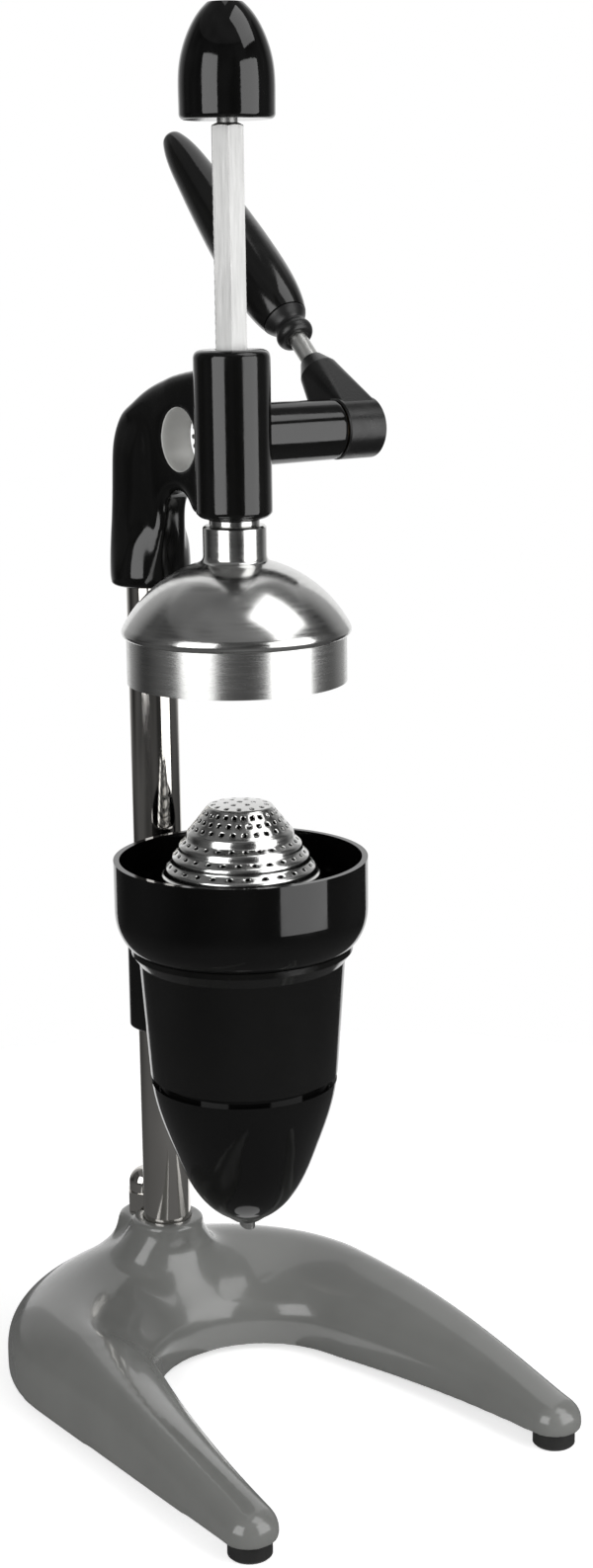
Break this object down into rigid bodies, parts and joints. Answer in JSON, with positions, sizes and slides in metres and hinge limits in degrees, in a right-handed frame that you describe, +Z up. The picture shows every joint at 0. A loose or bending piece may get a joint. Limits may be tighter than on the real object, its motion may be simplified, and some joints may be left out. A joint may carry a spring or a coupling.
{
  "type": "lever citrus juice press",
  "caption": "Upright citrus press: horseshoe base, column, rack-and-pinion ram with domed presser, side lever, bowl with stepped strainer and juice cone.",
  "frame": {"origin": "on the table, straight under the axis of the ram, the strainer and the juice spout", "axes": "+Z up along the ram and the column, -Y towards the user between the front feet, +X towards the side that carries the lever"},
  "size_m": [0.22, 0.3482, 0.7116],
  "materials": {
    "base_enamel": "gloss grey enamel",
    "black_enamel": "gloss black enamel",
    "lever_paint": "lightly textured black enamel",
    "black_plastic": "gloss black moulding",
    "cap_plastic": "gloss black moulding",
    "grip_plastic": "gloss black moulding",
    "grip_collar": "satin black",
    "foot_rubber": "matt black",
    "chrome": "polished chrome",
    "brushed_steel": "stainless steel brushed round its axis",
    "stainless": "polished and brushed stainless",
    "ram_steel": "bright satin",
    "gear_steel": "machined",
    "zinc_steel": "zinc plated",
    "bronze": "machined bronze",
    "white_nylon": "matt natural"
  },
  "bodies": {
    "frame": {"base_casting": "base_enamel", "front_feet": "foot_rubber", "rear_feet": "foot_rubber", "foot_screws": "zinc_steel", "column_tube": "chrome", "column_plug": "zinc_steel", "column_bolt": "zinc_steel", "column_washer": "zinc_steel", "cotter_bolt": "zinc_steel", "cotter_washer": "chrome", "acorn_nut": "chrome", "upper_arm": "black_enamel", "arm_set_screws": "zinc_steel", "shaft_bushes": "bronze", "brake_plug": "white_nylon", "brake_screw": "zinc_steel", "bowl_bracket": "black_enamel", "bracket_set_screw": "zinc_steel", "bowl": "black_plastic", "strainer": "stainless", "juice_funnel": "stainless", "lower_cone": "black_plastic", "spout_tube": "stainless"},
    "lever": {"pinion_shaft": "gear_steel", "thrust_washer": "bronze", "lever_hub": "lever_paint", "lever_set_screw": "zinc_steel", "lever_rod": "chrome", "grip_collar": "grip_collar", "lever_grip": "grip_plastic"},
    "ram": {"rack_ram": "ram_steel", "ram_cap": "cap_plastic", "stop_washer": "stainless", "presser_dome": "stainless", "presser_skirt": "brushed_steel", "presser_screw": "zinc_steel"}
  },
  "joints": [
    {"name": "lever_turn", "type": "hinge", "parent": "frame", "child": "lever", "pos_m": [0, 0.01755, 0.5064], "axis": [1, 0, 0], "range_deg": [0, 529.6]},
    {"name": "ram_slide", "type": "slide", "parent": "frame", "child": "ram", "axis": [0, 0, -1], "range_m": [0, 0.104]}
  ],
  "couplings": [
    {"joint": "ram_slide", "follows": "lever_turn", "m_per_rad": 0.01125}
  ]
}
